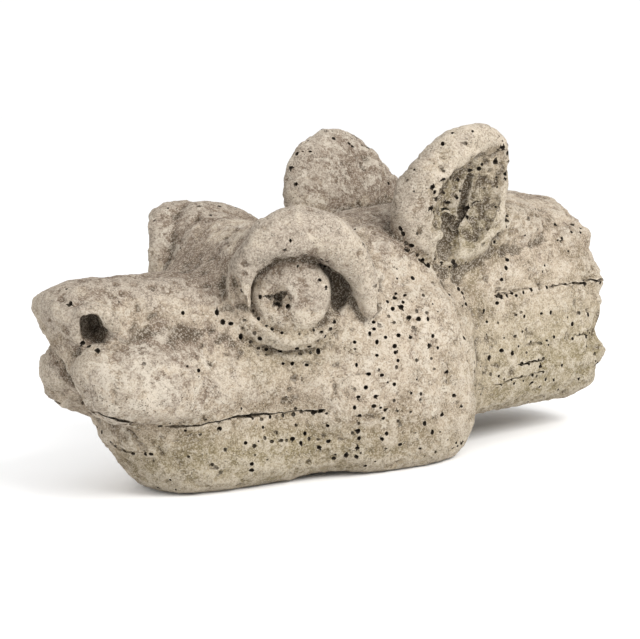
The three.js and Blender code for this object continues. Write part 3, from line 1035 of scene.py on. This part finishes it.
@dataclass
class Marks:
    """The values painted on the mesh for the finish: patina, lichen, green, painted shade in hollows and
    under the hoods, and crests.
    """

    patina: Sequence[Stain] = (
        Stain((20, -230, 262), (70, 110, 26), 0.55),
        Stain((92, -250, 182), (22, 44, 18), 0.62),
        Stain((146, -34, 282), (18, 30, 24), 1.0),
        Stain((-100, -110, 300), (60, 60, 60), 0.62),
        Stain((-120, 120, 350), (50, 70, 70), 0.6),
        Stain((0, 100, 305), (90, 110, 26), 0.42),
        Stain((-60, 260, 300), (90, 120, 30), 0.3),
        Stain((30, -356, 235), (36, 20, 30), 0.42),
        Stain((104, 72, 320), (34, 44, 60), 0.5),
        Stain((116, -120, 300), (56, 70, 44), 0.56),
        Stain((70, -310, 150), (60, 70, 50), 0.3),
        Stain((140, -126, 222), (30, 40, 34), 0.3),
        Stain((60, -320, 170), (60, 60, 60), 0.2),
    )
    pale: Sequence[Stain] = (
        Stain((-120, 110, 350), (50, 60, 60), 0.2),
        Stain((-105, -140, 280), (40, 50, 40), 0.14),
        Stain((80, -290, 140), (50, 70, 44), 0.2),
        Stain((150, 20, 190), (40, 70, 90), 0.16),
        Stain((110, 90, 350), (30, 50, 60), 0.1),
    )
    # Painted shade: dark patches in recesses. They sit in the ear cups, behind the left eye, under the left
    # brow, in the pupils and in the left ear's gully, and they add to the hollow mark.
    painted_shade: Sequence[Stain] = (
        Stain((110, 148, 312), (26, 32, 38), 0.8),
        Stain((-112, 130, 305), (22, 28, 30), 0.75),
        Stain((132, -66, 224), (28, 15, 22), 1.0),
        Stain((132, -40, 290), (12, 20, 14), 0.4),
        Stain((118, -150, 274), (40, 40, 9), 0.35),
        Stain((117, -132, 224), (11, 11, 9), 0.55),
        Stain((-117, -132, 224), (11, 11, 9), 0.55),
        Stain((124, 104, 225), (14, 16, 50), 0.3),
    )
    green: Sequence[Stain] = (
        Stain((120, -120, 165), (50, 60, 34), 0.5),
        Stain((120, 140, 300), (36, 50, 60), 0.9),
        Stain((130, 260, 90), (60, 150, 80), 0.75),
        Stain((100, -200, 30), (90, 200, 44), 0.7),
        Stain((0, 60, 20), (200, 300, 40), 0.6),
    )

    @staticmethod
    def shade_under_hoods(spot: np.ndarray) -> np.ndarray:
        """Painted shade: 1 in the trench over each eye, fading out up the underside of the hood."""
        eyes = Eyes()
        rear = heading(eyes.yaw + 90)
        folded = spot.copy()
        folded[:, 0] = np.abs(folded[:, 0])
        gap = folded - np.array(eyes.centre)
        along, up, out = gap @ rear, gap[:, 2], gap @ heading(eyes.yaw)
        reach = np.hypot(along, up)
        band = ease(reach, 44, 48) * (1 - ease(reach, 52, 76)) * ease(out, -45, -20)
        return band * ease(up + 0.35 * along, -16, 26)

    @staticmethod
    def field(spot: np.ndarray, stains: Sequence[Stain]) -> np.ndarray:
        """How strong a mark is at each point."""
        total = np.zeros(len(spot))
        for stain in stains:
            gap = (spot - np.array(stain.centre)) / np.array(stain.size)
            total = np.maximum(total, stain.strength * np.exp(-0.5 * (gap**2).sum(axis=1)))
        return total

    @staticmethod
    def bend(stone: bpy.types.Object, rounds: int) -> np.ndarray:
        """How far each vertex lies under the average of its surroundings, in millimetres."""
        points, normals = Bench.points(stone), Bench.normals(stone)
        edges = np.empty(len(stone.data.edges) * 2, int)
        stone.data.edges.foreach_get("vertices", edges)
        one, two = edges.reshape(-1, 2).T
        count = np.bincount(one, minlength=len(points)) + np.bincount(two, minlength=len(points))
        mean = points.copy()
        for _ in range(rounds):
            total = np.zeros_like(mean)
            for axis in range(3):
                total[:, axis] = np.bincount(one, mean[two, axis], len(points))
                total[:, axis] += np.bincount(two, mean[one, axis], len(points))
            mean = total / np.maximum(count, 1)[:, None]
        return ((mean - points) * normals).sum(axis=1) / MM

    def paint(self, stone: bpy.types.Object, seats: Sequence[Seat]) -> None:
        """Write the marks on the stone.

        Args:
            stone: The finished stone.
            seats: Where the borings are.
        """
        points = Bench.points(stone)
        spot = DATUM.millimetres(points)
        wide, close = self.bend(stone, 30), self.bend(stone, 6)
        values = {
            "patina": self.field(spot, self.patina),
            "pale": self.field(spot, self.pale),
            "green": self.field(spot, self.green),
            # hollow is painted shade: it is higher where the skin lies below its surroundings, in creases and
            # recesses, and the painted shade patches are added to it.
            "hollow": ease(0.55 * wide + close, 0.35, 3.2) + self.field(spot, self.painted_shade),
            "crest": ease(-(0.5 * wide + close), 0.3, 2.4),
        }
        # Painted shade under the hoods, added into the patina mark and the hollow mark.
        values["patina"] = np.maximum(values["patina"], 0.6 * self.shade_under_hoods(spot))
        values["hollow"] += 0.42 * self.shade_under_hoods(spot)
        for name, value in values.items():
            mark = stone.data.attributes.new(name, "FLOAT", "POINT")
            mark.data.foreach_set("value", value.astype(np.float32))
        # Painted shade: faces inside each boring are marked, more strongly the deeper it is.
        centres = np.empty(len(stone.data.polygons) * 3)
        stone.data.polygons.foreach_get("center", centres)
        centres = centres.reshape(-1, 3)
        bored = np.zeros(len(centres), np.float32)
        for seat in seats:
            gap = centres - np.array(seat.place)
            near = np.abs(gap).max(axis=1) < 10 * MM
            part = gap[near]
            down = part @ np.array(seat.way)
            off = np.linalg.norm(part - down[:, None] * np.array(seat.way), axis=1)
            inside = (off < seat.radius * 1.12) & (down < -0.5 * MM)
            bored[np.flatnonzero(near)[inside]] = min(1.0, 0.2 + 180 * seat.depth)
        mark = stone.data.attributes.new("bore_shade", "FLOAT", "FACE")
        mark.data.foreach_set("value", bored)


@dataclass
class GargoyleHead:
    """The whole carved stone."""

    rough_grain: float = 3.2
    fine_grain: float = 2.3
    most_faces: int = 120000
    trim_size: int = 400
    line_wander: float = 1.9
    sharp_edge: float = 48.0
    eyes: Eyes = field(default_factory=Eyes)
    muzzle: Muzzle = field(default_factory=Muzzle)
    ears: Ears = field(default_factory=Ears)
    neck: Neck = field(default_factory=Neck)
    cracks: Cracks = field(default_factory=Cracks)
    weather: Weather = field(default_factory=Weather)
    borings: Borings = field(default_factory=Borings)
    marks: Marks = field(default_factory=Marks)

    def rough_out(self) -> bpy.types.Object:
        """The block shape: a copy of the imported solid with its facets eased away."""
        source = bpy.data.objects[NODE]
        stone = source.copy()
        stone.data = source.data.copy()
        stone.name = "stone"
        stone.parent = None
        bpy.context.scene.collection.objects.link(stone)
        Bench.pick(stone)
        stone.data.materials.clear()
        bpy.ops.object.mode_set(mode="EDIT")
        bpy.ops.mesh.select_all(action="SELECT")
        bpy.ops.mesh.remove_doubles(threshold=0.02 * MM)
        bpy.ops.object.mode_set(mode="OBJECT")
        return Bench.fuse([stone], self.rough_grain, 14)

    def cast(self, rolls: Iterable[Roll], name: str, ragged: float = 0.0) -> list[bpy.types.Object]:
        """Make a mesh of each roll.

        Args:
            rolls: What to make.
            name: Start of the objects' names.
            ragged: How far, in millimetres, their skins wander.

        Returns:
            One object for each roll.
        """
        pieces = [roll.cast(f"{name}_{index}") for index, roll in enumerate(rolls)]
        if ragged:
            grain = Grain(self.weather.seed + 2)
            for piece in pieces:
                points = Bench.points(piece)
                move = [grain.layered(points + shift, 7, 2) for shift in (0.0, 0.3, 0.6)]
                Bench.place(piece, points + np.stack(move, axis=1) * ragged * MM)
        return pieces

    def carve(self) -> bpy.types.Object:
        """Carve the stone, weather it and bore it.

        Returns:
            The finished, undressed stone.
        """
        stone = self.rough_out()
        Bench.cut(stone, self.cast(self.eyes.sockets(), "socket"))
        added = self.eyes.drums() + self.eyes.lids() + self.eyes.hoods() + self.muzzle.lobes()
        added += self.neck.humps()
        Bench.fuse([stone, *self.cast(added, "mass")], self.fine_grain, 4)
        LOG.info("masses fused")
        cuts = (
            [self.muzzle.shaved_brow()] + self.eyes.pupils() + self.muzzle.nostrils() + self.ears.cups()
            + self.ears.creases()
        )
        Bench.cut(stone, self.cast(cuts, "cut"))
        Bench.fuse([stone], self.fine_grain, 1)
        LOG.info("details cut")
        calm = Bench.surface(stone)
        self.weather.wear(stone)
        ratio = self.most_faces / (2 * len(stone.data.polygons))
        Bench.apply(stone, "DECIMATE", ratio=min(1.0, ratio), use_collapse_triangulate=True)
        Bench.cut(stone, self.trims())
        lines = self.eyes.gouges() + self.muzzle.lines() + self.muzzle.teeth() + self.cracks.cuts()
        Bench.cut(stone, self.cast(lines, "line", ragged=self.line_wander))
        LOG.info("lines cut")
        seats = self.borings.seats(stone, calm)
        Bench.cut(stone, [self.borings.tools(seats)])
        LOG.info("%d borings", len(seats))
        stone = Bench.whole(stone)
        self.marks.paint(stone, seats)
        return stone

    def trims(self) -> list[bpy.types.Object]:
        """Blocks of air under the bed and behind the wall face."""
        half = self.trim_size / 2
        places = {
            "bed": ((0, 0, -half), (4, 4, 1)),
            "wall": ((0, WALL_MM + half, half), (4, 1, 4)),
        }
        blocks = []
        for name, (middle, stretch) in places.items():
            Bench.pick()
            bpy.ops.mesh.primitive_cube_add(size=self.trim_size * MM, location=DATUM.metres([middle])[0])
            block = bpy.context.object
            block.name = name
            block.scale = stretch
            bpy.ops.object.transform_apply(location=True, rotation=True, scale=True)
            blocks.append(block)
        return blocks

    def build(self, finish: bpy.types.Material) -> bpy.types.Object:
        """Carve the stone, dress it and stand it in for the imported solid.

        Args:
            finish: The stone's material.

        Returns:
            The finished piece.
        """
        stone = self.carve()
        stone.name = "gargoyle_stone"
        stone.data.name = "gargoyle_stone"
        stone.data.materials.clear()
        stone.data.materials.append(finish)
        Bench.pick(stone)
        bpy.ops.object.shade_smooth_by_angle(angle=math.radians(self.sharp_edge))
        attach(stone, BODY)
        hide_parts(NODE)
        return stone


@dataclass
class Studio:
    """A pale floor, soft light and the camera."""

    azimuth: float = 57.0
    elevation: float = 8.0
    roll: float = 3.5
    distance: float = 2.2
    lens: float = 99.0
    target: Point = (0.0, 0.0, 173.0)

    def camera(self) -> None:
        """Look at the head from its left front, a little from above."""
        turn, lift, roll = (math.radians(v) for v in (self.azimuth, self.elevation, self.roll))
        back = Vector((math.sin(turn) * math.cos(lift), -math.cos(turn) * math.cos(lift), math.sin(lift)))
        level = Vector((math.cos(turn), math.sin(turn), 0))
        upright = back.cross(level)
        right = level * math.cos(roll) - upright * math.sin(roll)
        up = upright * math.cos(roll) + level * math.sin(roll)
        data = bpy.data.cameras.new("camera")
        data.lens = self.lens
        data.sensor_width = 36
        camera = bpy.data.objects.new("camera", data)
        bpy.context.scene.collection.objects.link(camera)
        place = Vector(DATUM.metres([self.target])[0]) + back * self.distance
        camera.matrix_world = Matrix.Translation(place) @ Matrix((right, up, back)).transposed().to_4x4()
        bpy.context.scene.camera = camera

    def floor(self) -> None:
        """A wide pale floor."""
        Bench.pick()
        bpy.ops.mesh.primitive_plane_add(size=60)
        floor = bpy.context.object
        floor.name = "floor"
        board = Board("floor")
        grain = board.noise(3, 4)
        pale = board.blend((0.955, 0.955, 0.955, 1), (0.97, 0.97, 0.97, 1), grain)
        board.feed(board.shader.inputs["Base Color"], pale)
        board.shader.inputs["Roughness"].default_value = 0.9
        floor.data.materials.append(board.material)

    def lamp(self, name: str, spot: Point, size: float, power: float) -> None:
        """A soft square light at a place in metres, aimed at the head."""
        data = bpy.data.lights.new(name, "AREA")
        data.size = size
        data.energy = power
        lamp = bpy.data.objects.new(name, data)
        bpy.context.scene.collection.objects.link(lamp)
        aim = Vector((0, 0, 0.2)) - Vector(spot)
        lamp.location = spot
        lamp.rotation_euler = aim.to_track_quat("-Z", "Y").to_euler()

    def light(self) -> None:
        """A bright even sky, a key light over the nose and a weak fill behind."""
        world = bpy.data.worlds.new("sky")
        bpy.context.scene.world = world
        world.use_nodes = True
        sky = world.node_tree.nodes["Background"]
        sky.inputs["Color"].default_value = (1, 1, 1, 1)
        sky.inputs["Strength"].default_value = 1.06
        self.lamp("key", (2.2, 0.2, 1.7), 1.3, 66)
        self.lamp("fill", (0.2, -2.4, 1.6), 1.6, 5)

    def build(self) -> None:
        """Set up the whole studio."""
        self.camera()
        self.floor()
        self.light()
        bpy.context.scene.view_settings.view_transform = "Standard"


def main() -> None:
    """Build the head and the studio."""
    logging.basicConfig(level=logging.INFO, format="%(relativeCreated)6d ms  %(message)s")
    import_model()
    DATUM.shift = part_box(NODE)[1].y - WALL_MM * MM
    stone = GargoyleHead().build(Limestone().make())
    LOG.info("%s: %d faces", stone.name, len(stone.data.polygons))
    Studio().build()
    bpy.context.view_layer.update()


if __name__ == "__main__":
    main()
